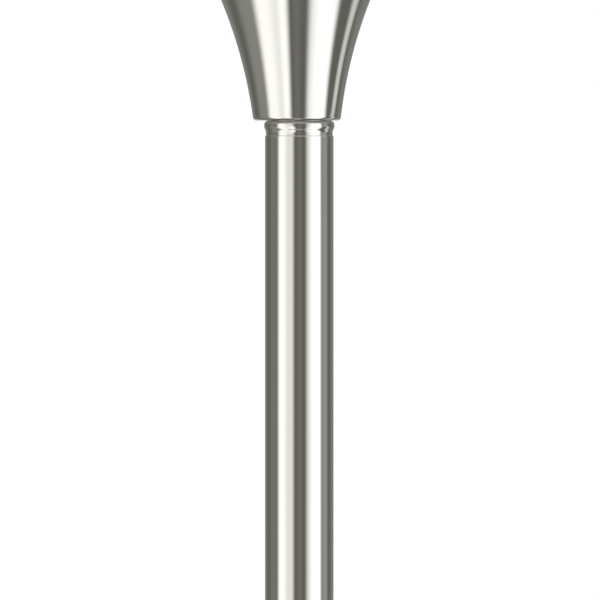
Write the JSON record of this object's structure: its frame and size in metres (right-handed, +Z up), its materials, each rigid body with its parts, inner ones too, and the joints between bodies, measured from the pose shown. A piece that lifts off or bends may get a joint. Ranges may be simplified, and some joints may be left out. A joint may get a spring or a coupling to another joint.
{
  "type": "torchiere floor lamp",
  "caption": "Tall torchiere floor lamp: weighted round base, straight steel pole with a push-and-turn dimmer, and a flared trumpet shade open to the ceiling.",
  "frame": {"origin": "on the floor, under the pole's axis", "axes": "+Z up the pole; the dimmer knob faces -Y and the cord inlet +Y"},
  "size_m": [0.305, 0.3066, 1.8028],
  "materials": {
    "felt": "felt",
    "zinc_plate": "dark phosphated sheet",
    "plated_steel": "zinc plated",
    "iron": "rough black",
    "polished_steel": "fine-brushed and polished, clear lacquered",
    "black_plastic": "moulded",
    "porcelain": "glazed",
    "brass": "plain",
    "phenolic": "pressed board",
    "carbon_track": "printed resistance track",
    "white_plastic": "moulded",
    "black_glass": "fired black insulator",
    "frosted_glass": "frosted inside",
    "clear_glass": "clear",
    "tungsten": "drawn wire",
    "black_wire": "insulation",
    "white_wire": "insulation",
    "red_wire": "insulation"
  },
  "bodies": {
    "stand": {"floor_felt": "felt", "base_bottom_plate": "zinc_plate", "bottom_plate_screws": "plated_steel", "base_weight": "iron", "base_cover": "polished_steel", "base_collar": "polished_steel", "base_nipple": "plated_steel", "base_nut": "plated_steel", "base_lock_washer": "plated_steel", "base_flat_washer": "plated_steel", "cord_gland": "black_plastic", "gland_nut": "black_plastic", "terminal_block": "porcelain", "terminal_block_screws": "brass", "lower_tube": "polished_steel", "foot_plug": "plated_steel", "lower_joint_socket": "plated_steel", "lower_joint_stud": "plated_steel", "middle_tube": "polished_steel", "upper_joint_socket": "plated_steel", "upper_joint_stud": "plated_steel", "upper_tube": "polished_steel", "dimmer_housing": "black_plastic", "dimmer_rear_cover": "phenolic", "dimmer_terminals": "brass", "dimmer_track": "carbon_track", "dimmer_bush": "plated_steel", "dimmer_saddle": "polished_steel", "dimmer_nut": "plated_steel", "neck_plug": "polished_steel", "top_nipple": "plated_steel", "trumpet_shade": "polished_steel", "shade_foot_disc": "polished_steel", "shade_washer": "plated_steel", "shade_lock_washer": "plated_steel", "shade_nut": "plated_steel", "socket_base": "brass", "socket_shell": "porcelain", "socket_core": "porcelain", "socket_screw_shell": "brass", "socket_centre_contact": "brass", "socket_terminal_screws": "brass", "socket_set_screw": "plated_steel", "bulb_glass": "frosted_glass", "bulb_cap": "plated_steel", "bulb_cap_insulator": "black_glass", "bulb_contact": "brass", "bulb_stem": "clear_glass", "bulb_lead_wires": "plated_steel", "bulb_filament": "tungsten", "live_wire": "black_wire", "neutral_wire": "white_wire", "switched_wire": "red_wire"},
    "dimmer_rotor": {"dimmer_rotor": "white_plastic", "dimmer_spring": "plated_steel"},
    "dimmer_shaft": {"dimmer_shaft": "plated_steel", "dimmer_clip": "plated_steel", "dimmer_knob": "polished_steel", "knob_set_screw": "black_glass"}
  },
  "joints": [
    {"name": "dimmer_turn", "type": "hinge", "parent": "stand", "child": "dimmer_rotor", "pos_m": [0, -0.0225, 1.14], "axis": [0, 1, 0], "range_deg": [0, 300]},
    {"name": "dimmer_push", "type": "slide", "parent": "dimmer_rotor", "child": "dimmer_shaft", "axis": [0, 1, 0], "range_m": [0, 0.0012], "stiffness_N_per_m": 1500, "springref_m": -0.001, "deforming": ["dimmer_spring"]}
  ]
}
